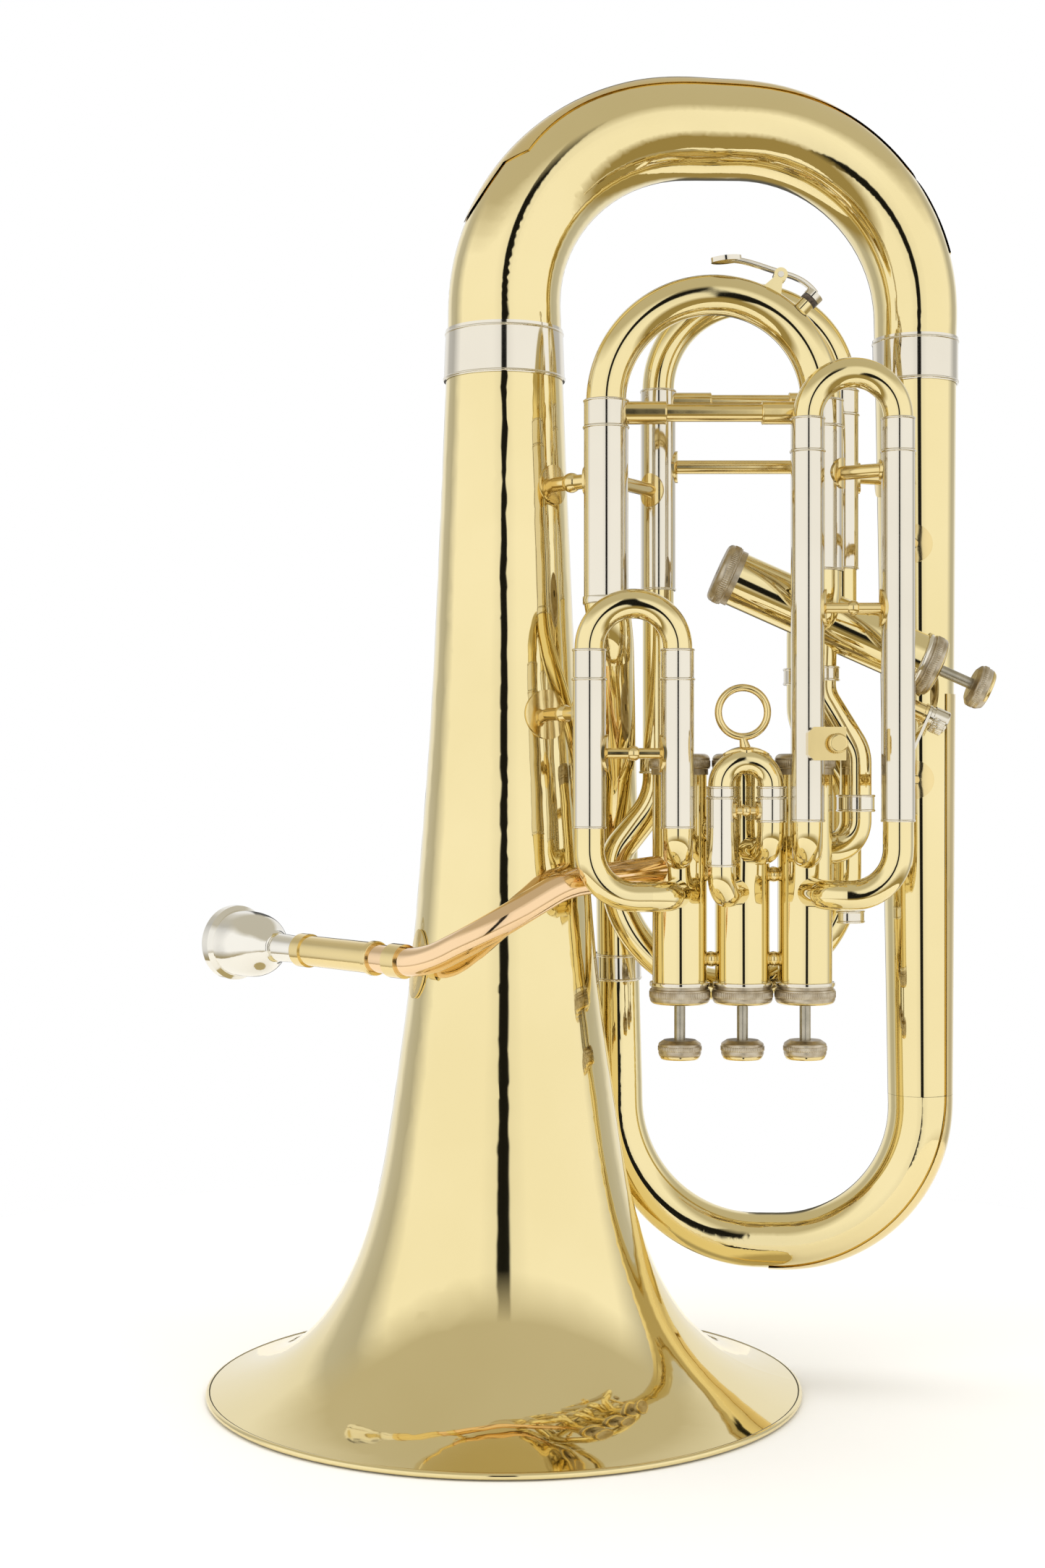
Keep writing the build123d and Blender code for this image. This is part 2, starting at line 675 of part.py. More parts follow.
def make_piston(number):
    """Piston with its ports and its stem, at rest against the mouth's cap."""
    frame = valve_frame(number)
    outer = CASING_BORE - SLIDE_FIT
    base = frame.origin + frame.z_dir * 0.5
    top = base + frame.z_dir * PISTON_LENGTH
    with BuildPart() as piston:
        rod(base, top, outer)
        rod(base + frame.z_dir * 2.5, top + frame.z_dir, outer - PISTON_WALL, mode=Mode.SUBTRACT)
        for height, side in zip(PISTON_PORTS, (frame.x_dir, frame.y_dir, frame.x_dir)):
            middle = base + frame.z_dir * height
            across = side * (CASING_R + 1)
            rod(middle - across, middle + across, PORT_R, mode=Mode.SUBTRACT)
        rod(frame.origin - frame.z_dir * (BUTTON_TOP + 1.0), base + frame.z_dir, STEM_R)
    finish(piston, f"piston_{number}")


def make_button(number):
    """Finger button, dished on the side the finger presses."""
    frame = valve_frame(number).offset(-BUTTON_TOP)
    outline = [
        (STEM_R + SOLDER, 0), (7.6, 0), (BUTTON_R, -1.6), (BUTTON_R, -6.4), (8.6, -BUTTON_HEIGHT),
        (7.4, -BUTTON_HEIGHT), (0, -BUTTON_HEIGHT + 1.1), (0, -1.03), (STEM_R + SOLDER, -1.03),
    ]
    rounds = [((BUTTON_R, -1.6), 1.2), ((BUTTON_R, -6.4), 1.6), ((8.6, -BUTTON_HEIGHT), 0.5)]
    with BuildPart() as button:
        turned(frame, outline, rounds)
    finish(button, f"button_{number}")


def make_casing_stays():
    """Barrel stays between neighbouring casings, and one from the first casing to the left branch."""
    run = LEFT_BEND_LOW - LEFT_JOINT
    side = (LEFT_JOINT + run * 0.42, LEFT_JOINT + run * 0.72, LEFT_R, LEFT_R)
    body = upright(valve_x(1), VALVE_Y, LEFT_JOINT.Z + run.Z * 0.57, CASING_R)
    reach = stay(side, body, 2.2, (6.5, 6.5), (6.0, 6.0), collar=STAY_BALL_R)
    with BuildPart() as casing_stays:
        for number in (1, 2):
            for z in CASING_STAY_HEIGHTS:
                start, end = valve_axis(number, z), valve_axis(number + 1, z)
                rod(start, end, CASING_STAY_R)
                with Locations((start + end) * 0.5):
                    Sphere(STAY_BALL_R)
        for number in (1, 2, 3):
            clear_casing(number)
        add(reach)
    finish(casing_stays, "casing_stays")


# ---- tuning slides ---------------------------------------------------------------------
def leg_radius(slide):
    """Outer radius of a slide leg that runs inside its sleeve."""
    return slide["r"] - SLEEVE_WALL - SLIDE_FIT


def make_sleeves(slide, name):
    """Fixed outer tubes, each with a rolled bead at its mouth and one at its foot."""
    with BuildPart() as sleeves:
        for x, foot in zip(slide["x"], slide["foot"]):
            low, high = (x, slide["y"], foot), (x, slide["y"], slide["bead"])
            rod(low, high, slide["r"])
            bead((x, slide["y"], slide["bead"] - BEAD), (0, 0, 1), slide["r"])
            bead((x, slide["y"], foot + BEAD), (0, 0, 1), slide["r"] - 0.3)
            rod(low, high, slide["r"] - SLEEVE_WALL, mode=Mode.SUBTRACT)
    finish(sleeves, f"{name}_sleeves")


def make_legs(slide, name):
    """Inner tubes, each with the ferrule that joins it to the crook."""
    inner = leg_radius(slide)
    seat = slide["bead"] + PARTING
    joint = (slide["bead"] + slide["top"]) / 2
    with BuildPart() as legs:
        for x, foot in zip(slide["x"], slide["foot"]):
            low, top = (x, slide["y"], foot + slide["inset"]), (x, slide["y"], slide["top"])
            rod((x, slide["y"], seat), top, slide["r"])
            bead((x, slide["y"], slide["top"] - BEAD), (0, 0, 1), slide["r"] - 0.2)
            rod(low, (x, slide["y"], seat + 0.5), inner)
            rod((x, slide["y"], joint), top, slide["crook"] + SOLDER, mode=Mode.SUBTRACT)
            rod(low, (x, slide["y"], joint + 0.5), slide["crook"] - WALL, mode=Mode.SUBTRACT)
    finish(legs, f"{name}_legs")


def crook_route(slide):
    """Two short straights joined by a half circle."""
    left, right = slide["x"]
    y, arc = slide["y"], slide["arc"]
    joint = (slide["bead"] + slide["top"]) / 2
    crown = ((left + right) / 2, y, arc + (right - left) / 2)
    with BuildLine() as path:
        Line((left, y, joint), (left, y, arc))
        ThreePointArc((left, y, arc), crown, (right, y, arc))
        Line((right, y, arc), (right, y, joint))
    return path.line


def make_crook(slide, name):
    """Bend at the top of a slide."""
    with BuildPart() as crook:
        pipe(crook_route(slide), slide["crook"], slide["crook"] - WALL)
    finish(crook, f"{name}_crook")


# ---- main slide: crook with water key ----------------------------------------------------
def crook_frame(angle, lift):
    """Frame standing on the main crook at an angle from +X, its Z pointing outward."""
    centre = Vector(sum(MAIN["x"]) / 2, MAIN["y"], MAIN["arc"])
    outward = Vector(cos(radians(angle)), 0, sin(radians(angle)))
    bend = (MAIN["x"][1] - MAIN["x"][0]) / 2
    return Plane(origin=centre + outward * (bend + lift), x_dir=(0, 1, 0), z_dir=outward)


def make_main_crook():
    """Crook with a drain nipple and the saddle that carries the water key's pivot."""
    outer = MAIN["crook"]
    nipple = crook_frame(KEY_ANGLE, 0)
    pivot = crook_frame(PIVOT_ANGLE, PIVOT_LIFT)
    with BuildPart() as main_crook:
        pipe(crook_route(MAIN), outer)
        rod(nipple.origin, nipple.offset(outer + NIPPLE_HEIGHT).origin, NIPPLE_R)
        for side in (-1, 1):
            base = pivot.origin + Vector(0, side * POST_Y, 0)
            with BuildSketch(Plane(origin=base, x_dir=pivot.y_dir, z_dir=(0, 1, 0))) as post:
                with Locations((0, -4.2)):
                    Trapezoid(9.0, 8.4, 68)
                Circle(3.1)
            extrude(post.sketch, amount=0.8, both=True)
        rod(nipple.origin, nipple.offset(outer + NIPPLE_HEIGHT + 1).origin, DRAIN_R, mode=Mode.SUBTRACT)
        reach = Vector(0, POST_Y + 2, 0)
        rod(pivot.origin - reach, pivot.origin + reach, PIVOT_HOLE_R, mode=Mode.SUBTRACT)
        pipe(crook_route(MAIN), outer - WALL, mode=Mode.SUBTRACT)
    finish(main_crook, "main_crook")


def make_water_key():
    """Lever on its pivot, with a touch plate at one end and the cork's cup at the other."""
    pivot = crook_frame(PIVOT_ANGLE, PIVOT_LIFT).origin
    cup = crook_frame(KEY_ANGLE, MAIN["crook"] + NIPPLE_HEIGHT + CORK_HEIGHT)
    crown = cup.offset(CUP_HEIGHT + 0.2).origin
    axle = Vector(0, POST_Y + 1.0, 0)
    with BuildPart() as water_key:
        rod(pivot - Vector(0, 1.6, 0), pivot + Vector(0, 1.6, 0), HUB_R)
        rod(pivot - axle, pivot + axle, PIVOT_PIN_R)
        rod(cup.origin, cup.offset(CUP_HEIGHT).origin, CUP_R)
        with BuildLine() as arm:
            Spline(KEY_TOUCH, KEY_NECK, pivot + Vector(-2, 0, 2.2), pivot + Vector(8, 0, -1.2), crown)
        with BuildSketch(Plane(origin=arm.line @ 0, x_dir=(0, 1, 0), z_dir=arm.line % 0)) as bar:
            RectangleRounded(3.8, 2.2, 0.7)
        sweep(sections=bar.sketch, path=arm.line)
        with BuildSketch(Plane(origin=KEY_TOUCH, x_dir=(1, 0, 0.1), z_dir=(0.1, 0, -1))) as plate:
            Ellipse(7.0, 4.6)
        extrude(plate.sketch, amount=1.1, both=True)
    finish(water_key, "water_key")


def make_main_brace():
    """Moving brace between the main slide's ferrules: a thin bar in two long sockets."""
    (left, right), y, z = MAIN["x"], MAIN["y"], 454.2
    with BuildPart() as main_brace:
        rod((left, y, z), (right, y, z), 4.0)
        for edge, end in ((left, 73.7), (right, 118.2)):
            rod((edge, y, z), (end, y, z), 5.2)
            bead((end, y, z), (1, 0, 0), 4.7)
        for x in (left, right):
            rod((x, y, z - 9), (x, y, z + 9), MAIN["r"] + SOLDER, mode=Mode.SUBTRACT)
            bead((x, y, MAIN["top"] - BEAD), (0, 0, 1), MAIN["r"] - 0.2, BEAD + 0.05, Mode.SUBTRACT)
    finish(main_brace, "main_brace")


def make_fourth_brace():
    """Moving brace between the fourth slide's ferrules."""
    (left, right), y, z = FOURTH["x"], FOURTH["y"], 467.0
    with BuildPart() as fourth_brace:
        rod((left, y, z), (right, y, z), 3.4)
        for edge, end in ((left, 98.0), (right, 136.0)):
            rod((edge, y, z), (end, y, z), 4.4)
            bead((end, y, z), (1, 0, 0), 3.9)
        for x in (left, right):
            rod((x, y, z - 9), (x, y, z + 9), FOURTH["r"] + SOLDER, mode=Mode.SUBTRACT)
            bead((x, y, FOURTH["top"] - BEAD), (0, 0, 1), FOURTH["r"] - 0.2, BEAD + 0.05, Mode.SUBTRACT)
    finish(fourth_brace, "fourth_brace")


def make_pull_ring():
    """Finger ring on a pointed saddle, soldered to the second slide's crook."""
    middle = sum(SLIDE_2["x"]) / 2
    top = SLIDE_2["arc"] + (SLIDE_2["x"][1] - SLIDE_2["x"][0]) / 2 + SLIDE_2["crook"]
    y = SLIDE_2["y"]
    centre = Vector(middle - 1.5, y, top + 3.4 + RING_R)
    above = Plane(origin=(middle, y, top + 4), x_dir=(1, 0, 0), z_dir=(0, 0, -1))
    with BuildSketch(above) as outline:
        Ellipse(10.5, 3.6)
        Circle(4.6)
    with BuildPart() as pull_ring:
        pipe(crook_route(SLIDE_2), SLIDE_2["crook"] + 0.8)
        extrude(outline.sketch, amount=12, mode=Mode.INTERSECT)
        frustum((middle, y, top - 2), centre - Vector(0, 0, RING_R - 1), 3.0, 1.6)
        with Locations(Plane(origin=centre, z_dir=(0, 1, 0)).location):
            Torus(RING_R - RING_WIRE, RING_WIRE)
        pipe(crook_route(SLIDE_2), SLIDE_2["crook"] + SOLDER, mode=Mode.SUBTRACT)
    finish(pull_ring, "pull_ring")


# ---- fixed stays -----------------------------------------------------------------------
def make_slide_stays():
    """Stays that tie the sleeves to each other and to the right branch."""
    def sleeve(slide, side, z):
        return upright(slide["x"][side], slide["y"], z, slide["r"], half=10)

    def branch(z):
        low, high = z - 14, z + 14
        return branch_point(low), branch_point(high), branch_radius(low), branch_radius(high)

    # the two tubes, stay radius, pad on each tube, collar radius
    pairs = [
        (sleeve(SLIDE_1, 0, 298.7), sleeve(SLIDE_1, 1, 298.7), 2.4, PAD_TALL, PAD_TALL, 3.4),
        (sleeve(SLIDE_2, 0, 273.0), sleeve(SLIDE_2, 1, 273.0), 1.8, PAD_SMALL, PAD_SMALL, 2.6),
        (sleeve(SLIDE_3, 0, 363.8), sleeve(SLIDE_3, 1, 363.8), 2.4, PAD_TALL, PAD_TALL, 3.4),
        (sleeve(FOURTH, 0, 436.0), sleeve(FOURTH, 1, 436.0), 3.2, PAD_MID, PAD_MID, 0),
        (sleeve(MAIN, 0, 424.0), sleeve(FOURTH, 0, 424.0), 3.2, (6.2, 8.5), (6.0, 8.0), 0),
        (sleeve(MAIN, 1, 426.0), sleeve(SLIDE_3, 1, 426.0), 3.2, (7.0, 7.0), (5.5, 5.0), 0),
        (sleeve(FOURTH, 1, 431.0), branch(431.0), 2.6, PAD_MID, (8.5, 8.5), 0),
        (sleeve(SLIDE_3, 1, 399.0), branch(399.0), 2.8, (5.5, 7.5), PAD_BRANCH, 3.8),
        (sleeve(SLIDE_3, 1, 287.0), branch(287.0), 2.8, (5.5, 7.5), PAD_BRANCH, 3.8),
    ]
    pieces = [stay(*pair) for pair in pairs]
    with BuildPart() as slide_stays:
        add(pieces)
    finish(slide_stays, "slide_stays")


def make_bell_braces():
    """Braces from the bell's throat to the main slide and to the first slide."""
    upper = stay(
        upright(0, 0, 424, 29.75, slope=0.045), upright(MAIN["x"][0], MAIN["y"], 424, MAIN["r"], 8),
        3.4, (9.2, 9.2), (5.8, 7.0), 4.6,
    )
    lower = stay(
        upright(0, 0, 317, 34.75, slope=0.058), upright(SLIDE_1["x"][0], SLIDE_1["y"], 317, SLIDE_1["r"], 8),
        3.0, (11.4, 11.4), (5.5, 7.0), 4.2,
    )
    with BuildPart() as bell_braces:
        add([upper, lower])
    finish(bell_braces, "bell_braces")


def make_leadpipe_brace():
    """Tall oval pad on the bell with a short foot that holds the receiver end of the leadpipe."""
    z = 201.5
    way = Vector(-sin(radians(66)), -cos(radians(66)), 0)
    pad = saddle(upright(0, 0, z, 43.95, half=20, slope=0.1), way, 9.0, 16.0)
    grip = MOUTH_START + MOUTH_AXIS * 14
    with BuildPart() as leadpipe_brace:
        add(pad)
        rod(way * 40 + Vector(0, 0, z), grip, 3.2)
        rod(grip - MOUTH_AXIS * 4.5, grip + MOUTH_AXIS * 4.5, PIPE_R + 1.3)
        frustum((0, 0, z - 20), (0, 0, z + 20), 45.97, 41.97, mode=Mode.SUBTRACT)
        rod(grip - MOUTH_AXIS * 12, grip + MOUTH_AXIS * 12, PIPE_R + SOLDER, mode=Mode.SUBTRACT)
    finish(leadpipe_brace, "leadpipe_brace")


# ---- receiver, mouthpiece and small fittings ---------------------------------------------
def mouth_frame(t=0.0):
    """Frame on the mouthpiece axis, a distance t from its start."""
    return Plane(origin=MOUTH_START + MOUTH_AXIS * t, x_dir=(0, 0, 1), z_dir=MOUTH_AXIS)


def make_receiver():
    """Socket at the end of the leadpipe for the mouthpiece's shank."""
    near, far = RECEIVER_NEAR, RECEIVER_FAR
    seat = near + 6.1
    ridge = RECEIVER_R + RECEIVER_BEAD
    tip, mouth = SHANK_TIP_R + SLIDE_FIT, SHANK_MOUTH_R + SLIDE_FIT
    outline = [
        (PIPE_R + SOLDER, near), (ridge, near), (ridge, near + 3), (RECEIVER_R, near + 3),
        (RECEIVER_R, far - 7), (ridge, far - 7), (ridge, far), (mouth, far),
        (tip, SHANK_END), (tip, SHANK_END - 4), (PIPE_R - WALL, seat), (PIPE_R + SOLDER, seat),
    ]
    rounds = [((ridge, far), 0.7), ((ridge, near), 0.6)]
    with BuildPart() as receiver:
        turned(mouth_frame(), outline, rounds)
    finish(receiver, "receiver")


def make_mouthpiece():
    """Large-shank mouthpiece: tapered shank, turned collar, round cup and broad rim."""
    frame = mouth_frame()
    side = Plane(origin=frame.origin, x_dir=frame.x_dir, z_dir=frame.y_dir * -1)
    crown = ((RIM_R + BITE_R) / 2 + 0.8, RIM_FACE)
    with BuildSketch(side) as half:
        with BuildLine():
            shank = Polyline(
                (BACKBORE_R, SHANK_END), (SHANK_TIP_R, SHANK_END), (SHANK_MOUTH_R, RECEIVER_FAR),
                *COLLAR_OUTLINE,
            )
            bowl = Spline(shank @ 1, *BOWL_OUTLINE, tangents=((1, 0.1), (0.05, 1)))
            edge = Polyline(bowl @ 1, (RIM_R, RIM_FACE - RIM_HEIGHT), (RIM_R, RIM_FACE - 2.2))
            top = ThreePointArc(edge @ 1, crown, (BITE_R, RIM_FACE - 1.6))
            cup = Spline(top @ 1, *CUP_OUTLINE, tangents=((-0.2, -1), (-0.4, -1)))
            Polyline(cup @ 1, (THROAT_R, 110), (BACKBORE_R, SHANK_END))
        make_face()
    with BuildPart() as mouthpiece:
        revolve(half.sketch, axis=Axis(frame.origin, frame.z_dir))
    finish(mouthpiece, "mouthpiece")


def make_lyre_socket():
    """Block on the third slide's sleeve with an upright bore for a music holder's stem."""
    left, right = 134.5, LYRE_X + 4.3
    front, back = LYRE_Y - 4.6, LYRE_Y + 4.8
    low, high = LYRE_LOW - 1, LYRE_HIGH + 1
    sleeve_x, sleeve_y = SLIDE_3["x"][0], SLIDE_3["y"]
    sleeve_r = SLIDE_3["r"] + SOLDER
    with BuildPart() as lyre_socket:
        with BuildSketch(Plane.XY.offset(LYRE_LOW)):
            with Locations(((left + right) / 2, (front + back) / 2)):
                Rectangle(right - left, back - front)
        extrude(amount=LYRE_HIGH - LYRE_LOW)
        corners = lyre_socket.edges().filter_by(Axis.Y).group_by(Axis.X)[0]
        chamfer(corners, 2.6)
        rod((LYRE_X, LYRE_Y, low), (LYRE_X, LYRE_Y, high), LYRE_BORE, mode=Mode.SUBTRACT)
        rod((LYRE_X, front - 1, LYRE_Z), (LYRE_X, LYRE_Y, LYRE_Z), SCREW_HOLE_R, mode=Mode.SUBTRACT)
        rod((sleeve_x, sleeve_y, low), (sleeve_x, sleeve_y, high), sleeve_r, mode=Mode.SUBTRACT)
    finish(lyre_socket, "lyre_socket")


def make_lyre_screw():
    """Thumbscrew that clamps the lyre's stem."""
    frame = Plane(origin=(LYRE_X, LYRE_Y - LYRE_BORE - 0.1, LYRE_Z), x_dir=(1, 0, 0), z_dir=(0, -1, 0))
    head_r, neck, top = 4.2, 5.2, 9.4
    outline = [(0, 0), (SCREW_R, 0), (SCREW_R, neck), (head_r, neck), (head_r, top), (0, top)]
    rounds = [((head_r, top), 0.9), ((head_r, neck), 0.6)]
    with BuildPart() as lyre_screw:
        turned(frame, outline, rounds)
    finish(lyre_screw, "lyre_screw")


def make_thumb_post():
    """Stub on the right branch that carries the hand-rest plate, with its curved strut."""
    end = THUMB_END
    start = end + FOURTH_AXIS * 17
    foot = branch_point(start.Z)
    with BuildPart() as thumb_post:
        rod(start, end, 4.3)
        rod(end, end + FOURTH_AXIS * 1.2, 5.0)
        rod(start, foot, 3.0)
        rod(end, end + FOURTH_AXIS * 9, SCREW_HOLE_R, mode=Mode.SUBTRACT)
        low, high = branch_point(start.Z - 12), branch_point(start.Z + 12)
        rod(low, high, branch_radius(start.Z) + 0.12, mode=Mode.SUBTRACT)
    finish(thumb_post, "thumb_post")


def make_thumb_plate():
    """Adjustable hand-rest plate, clamped on the post's end by its screw."""
    face = Plane(origin=THUMB_END - FOURTH_AXIS * 0.25, x_dir=(0, 1, 0), z_dir=FOURTH_AXIS * -1)
    with BuildPart() as thumb_plate:
        with BuildSketch(face):
            with Locations((0, -PLATE_DROP)):
                SlotOverall(34, 10.0, rotation=90)
            Circle(1.75, mode=Mode.SUBTRACT)
        extrude(amount=1.3)
    finish(thumb_plate, "thumb_plate")


def make_thumb_screw():
    """Thumbscrew that clamps the hand-rest plate."""
    frame = Plane(origin=THUMB_END + FOURTH_AXIS * 7, x_dir=(0, 1, 0), z_dir=FOURTH_AXIS * -1)
    neck, collar, top = 8.8, 10.4, 17.6
    collar_r, head_r = 4.6, 5.3
    outline = [
        (0, 0), (SCREW_R, 0), (SCREW_R, neck), (collar_r, neck), (collar_r, collar),
        (head_r, collar), (head_r, top), (0, top),
    ]
    rounds = [((head_r, top), 0.7)]
    with BuildPart() as thumb_screw:
        turned(frame, outline, rounds)
    finish(thumb_screw, "thumb_screw")


# ---- build -----------------------------------------------------------------------------
os.makedirs("parts", exist_ok=True)
make_bell()
make_top_bow()
make_top_bow_guard()
make_right_branch()
make_branch_guard()
make_bottom_bow()
make_left_branch()
make_bore_ferrules()
make_leadpipe()
make_loop()
make_links()
make_tube_ferrules()
make_knuckles()
for valve in (1, 2, 3, 4):
    make_casing(valve)
    make_caps(valve)
    make_piston(valve)
    make_button(valve)
make_casing_stays()
for tube_slide, slide_name in SLIDES:
    make_sleeves(tube_slide, slide_name)
    make_legs(tube_slide, slide_name)
    if tube_slide is not MAIN:
        make_crook(tube_slide, slide_name)
make_main_crook()
make_water_key()
make_main_brace()
make_fourth_brace()
make_pull_ring()
make_slide_stays()
make_bell_braces()
make_leadpipe_brace()
make_receiver()
make_mouthpiece()
make_lyre_socket()
make_lyre_screw()
make_thumb_post()
make_thumb_plate()
make_thumb_screw()
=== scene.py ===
import bmesh
import bpy
import json
from math import cos, pi, radians, sin
from mathutils import Matrix, Vector


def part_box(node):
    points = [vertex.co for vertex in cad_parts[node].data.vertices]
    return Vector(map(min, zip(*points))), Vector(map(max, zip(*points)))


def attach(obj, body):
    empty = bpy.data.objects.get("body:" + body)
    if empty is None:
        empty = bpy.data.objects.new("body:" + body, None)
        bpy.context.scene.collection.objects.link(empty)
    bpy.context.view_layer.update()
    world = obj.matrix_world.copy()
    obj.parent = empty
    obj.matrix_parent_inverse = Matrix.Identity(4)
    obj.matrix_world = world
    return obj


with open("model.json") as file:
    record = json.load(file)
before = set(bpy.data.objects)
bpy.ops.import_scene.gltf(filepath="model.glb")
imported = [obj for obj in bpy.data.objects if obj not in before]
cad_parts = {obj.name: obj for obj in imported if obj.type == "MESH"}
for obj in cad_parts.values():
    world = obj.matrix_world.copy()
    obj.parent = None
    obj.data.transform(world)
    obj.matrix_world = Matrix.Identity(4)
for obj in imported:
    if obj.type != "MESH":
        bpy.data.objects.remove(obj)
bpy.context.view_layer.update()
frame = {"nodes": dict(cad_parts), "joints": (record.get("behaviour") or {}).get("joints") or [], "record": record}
nodes = frame["nodes"]

# ---- node trees ----------------------------------------------------------------------------
NEW_STOP = 0.5                      # where a ramp's extra stops start, before each gets its place
NOISE_LOW, NOISE_HIGH = 0.3, 0.7    # the part of a noise's range that is spread over other values


class Graph:
    """The node tree of a material or a world, with short calls for adding nodes."""

    def __init__(self, owner):
        owner.use_nodes = True
        self.nodes, self.links = owner.node_tree.nodes, owner.node_tree.links

    def add(self, kind, inputs=None):
        """New node, with constants set on the inputs named."""
        node = self.nodes.new(kind)
        for name, value in (inputs or {}).items():
            node.inputs[name].default_value = value
        return node

    def link(self, out, into):
        """Join one node's output to another's input."""
        self.links.new(out, into)

    def noise(self, scale, detail, stretch=(1, 1, 1)):
        """Noise in the object's own space, as a number from 0 to 1."""
        place = self.add("ShaderNodeTexCoord")
        mapping = self.add("ShaderNodeMapping", {"Scale": stretch})
        self.link(place.outputs["Object"], mapping.inputs["Vector"])
        noise = self.add("ShaderNodeTexNoise", {"Scale": scale, "Detail": detail})
        self.link(mapping.outputs["Vector"], noise.inputs["Vector"])
        return noise.outputs["Fac"]

    def ramp(self, fac, *stops):
        """Colour that changes with fac, through stops of (place, colour)."""
        ramp = self.add("ShaderNodeValToRGB")
        elements = ramp.color_ramp.elements
        while len(elements) < len(stops):
            elements.new(NEW_STOP)
        for element, (place, colour) in zip(elements, stops):
            element.position = place
            element.color = (*colour, 1)
        self.link(fac, ramp.inputs["Fac"])
        return ramp.outputs["Color"]

    def grey_ramp(self, fac, stops):
        """Grey that changes with fac, through stops of (place, level)."""
        return self.ramp(fac, *[(place, (level, level, level)) for place, level in stops])

    def span(self, fac, low, high):
        """Number from low to high that follows a noise."""
        spread = self.add("ShaderNodeMapRange", {
            "From Min": NOISE_LOW, "From Max": NOISE_HIGH, "To Min": low, "To Max": high,
        })
        self.link(fac, spread.inputs["Value"])
        return spread.outputs["Result"]

    def bump(self, height, strength, distance):
        """Normal of a surface raised by height."""
        bump = self.add("ShaderNodeBump", {"Strength": strength, "Distance": distance})
        self.link(height, bump.inputs["Height"])
        return bump.outputs["Normal"]

    def math(self, operation, first, second=None):
        """Math node on one output, and on another output or a number if there is a second."""
        node = self.add("ShaderNodeMath")
        node.operation = operation
        self.link(first, node.inputs[0])
        if isinstance(second, float):
            node.inputs[1].default_value = second
        elif second is not None:
            self.link(second, node.inputs[1])
        return node.outputs[0]

    def mix(self, factor, first, second):
        """Colour that goes from an output's to a constant one as factor rises."""
        mix = self.add("ShaderNodeMix")
        mix.data_type = "RGBA"
        self.link(factor, mix.inputs["Factor"])
        self.link(first, mix.inputs["A"])
        mix.inputs["B"].default_value = (*second, 1)
        return mix.outputs["Result"]


# ---- materials -------------------------------------------------------------------------------
DRIFT_DETAIL = 4
DRIFT_LOW, DRIFT_HIGH = 0.35, 0.65
MARKS_SCALE, MARKS_DETAIL, MARKS_STRETCH = 160, 6, (1, 1, 0.25)
COAT_ROUGHNESS = 0.03
RIPPLE_SCALE, RIPPLE_DETAIL, RIPPLE_HEIGHT = 38, 2, 0.0004

# Each finish by material slot: the two colours it drifts between, the two ends of its roughness,
# its clear coat, the strength of its ripple, and how closely its patches of colour lie.
FINISHES = {
    "lacquered_brass": dict(
        low=(0.80, 0.675, 0.355), high=(0.84, 0.715, 0.395), rough=(0.036, 0.044), coat=0.06, ripple=0.001
    ),
    "brass_fittings": dict(
        low=(0.77, 0.61, 0.28), high=(0.82, 0.66, 0.33), rough=(0.08, 0.14), coat=0.06, ripple=0.006
    ),
    "rose_brass": dict(
        low=(0.84, 0.59, 0.34), high=(0.89, 0.65, 0.40), rough=(0.06, 0.11), coat=0.06, ripple=0.006
    ),
    "nickel_silver": dict(
        low=(0.73, 0.68, 0.57), high=(0.79, 0.74, 0.63), rough=(0.05, 0.10), coat=0.04, ripple=0.006
    ),
    "knurled_nickel": dict(
        low=(0.43, 0.355, 0.245), high=(0.58, 0.51, 0.39), rough=(0.30, 0.42), patch=260
    ),
    "valve_steel": dict(
        low=(0.36, 0.33, 0.255), high=(0.45, 0.41, 0.325), rough=(0.22, 0.30), patch=180
    ),
    "silver_plate": dict(
        low=(0.80, 0.77, 0.69), high=(0.86, 0.83, 0.755), rough=(0.06, 0.11), coat=0.04, ripple=0.006
    ),
}

CORK_DARK, CORK_PALE = (0.035, 0.025, 0.018), (0.10, 0.070, 0.045)
CORK_LOW, CORK_HIGH = 0.38, 0.62
CORK_ROUGH, CORK_SMOOTH = 0.85, 0.73
CORK_SCALE, CORK_DETAIL = 700, 6
CORK_BUMP, CORK_GRAIN = 0.7, 0.0003
CORK_SHEEN = 0.4


def new_material(name):
    """A new material, its graph and its shader."""
    material = bpy.data.materials.new(name)
    graph = Graph(material)
    return material, graph, graph.nodes["Principled BSDF"]


def metal(name, low, high, rough, coat=0.0, ripple=0.0, patch=9):
    """Metal whose colour drifts from low to high, with handling marks in its roughness."""
    material, graph, shader = new_material(name)
    drift = graph.noise(patch, DRIFT_DETAIL)
    graph.link(graph.ramp(drift, (DRIFT_LOW, low), (DRIFT_HIGH, high)), shader.inputs["Base Color"])
    marks = graph.noise(MARKS_SCALE, MARKS_DETAIL, MARKS_STRETCH)
    graph.link(graph.span(marks, *rough), shader.inputs["Roughness"])
    shader.inputs["Metallic"].default_value = 1.0
    if coat:
        shader.inputs["Coat Weight"].default_value = coat
        shader.inputs["Coat Roughness"].default_value = COAT_ROUGHNESS
    if ripple:
        height = graph.noise(RIPPLE_SCALE, RIPPLE_DETAIL)
        graph.link(graph.bump(height, ripple, RIPPLE_HEIGHT), shader.inputs["Normal"])
    return material


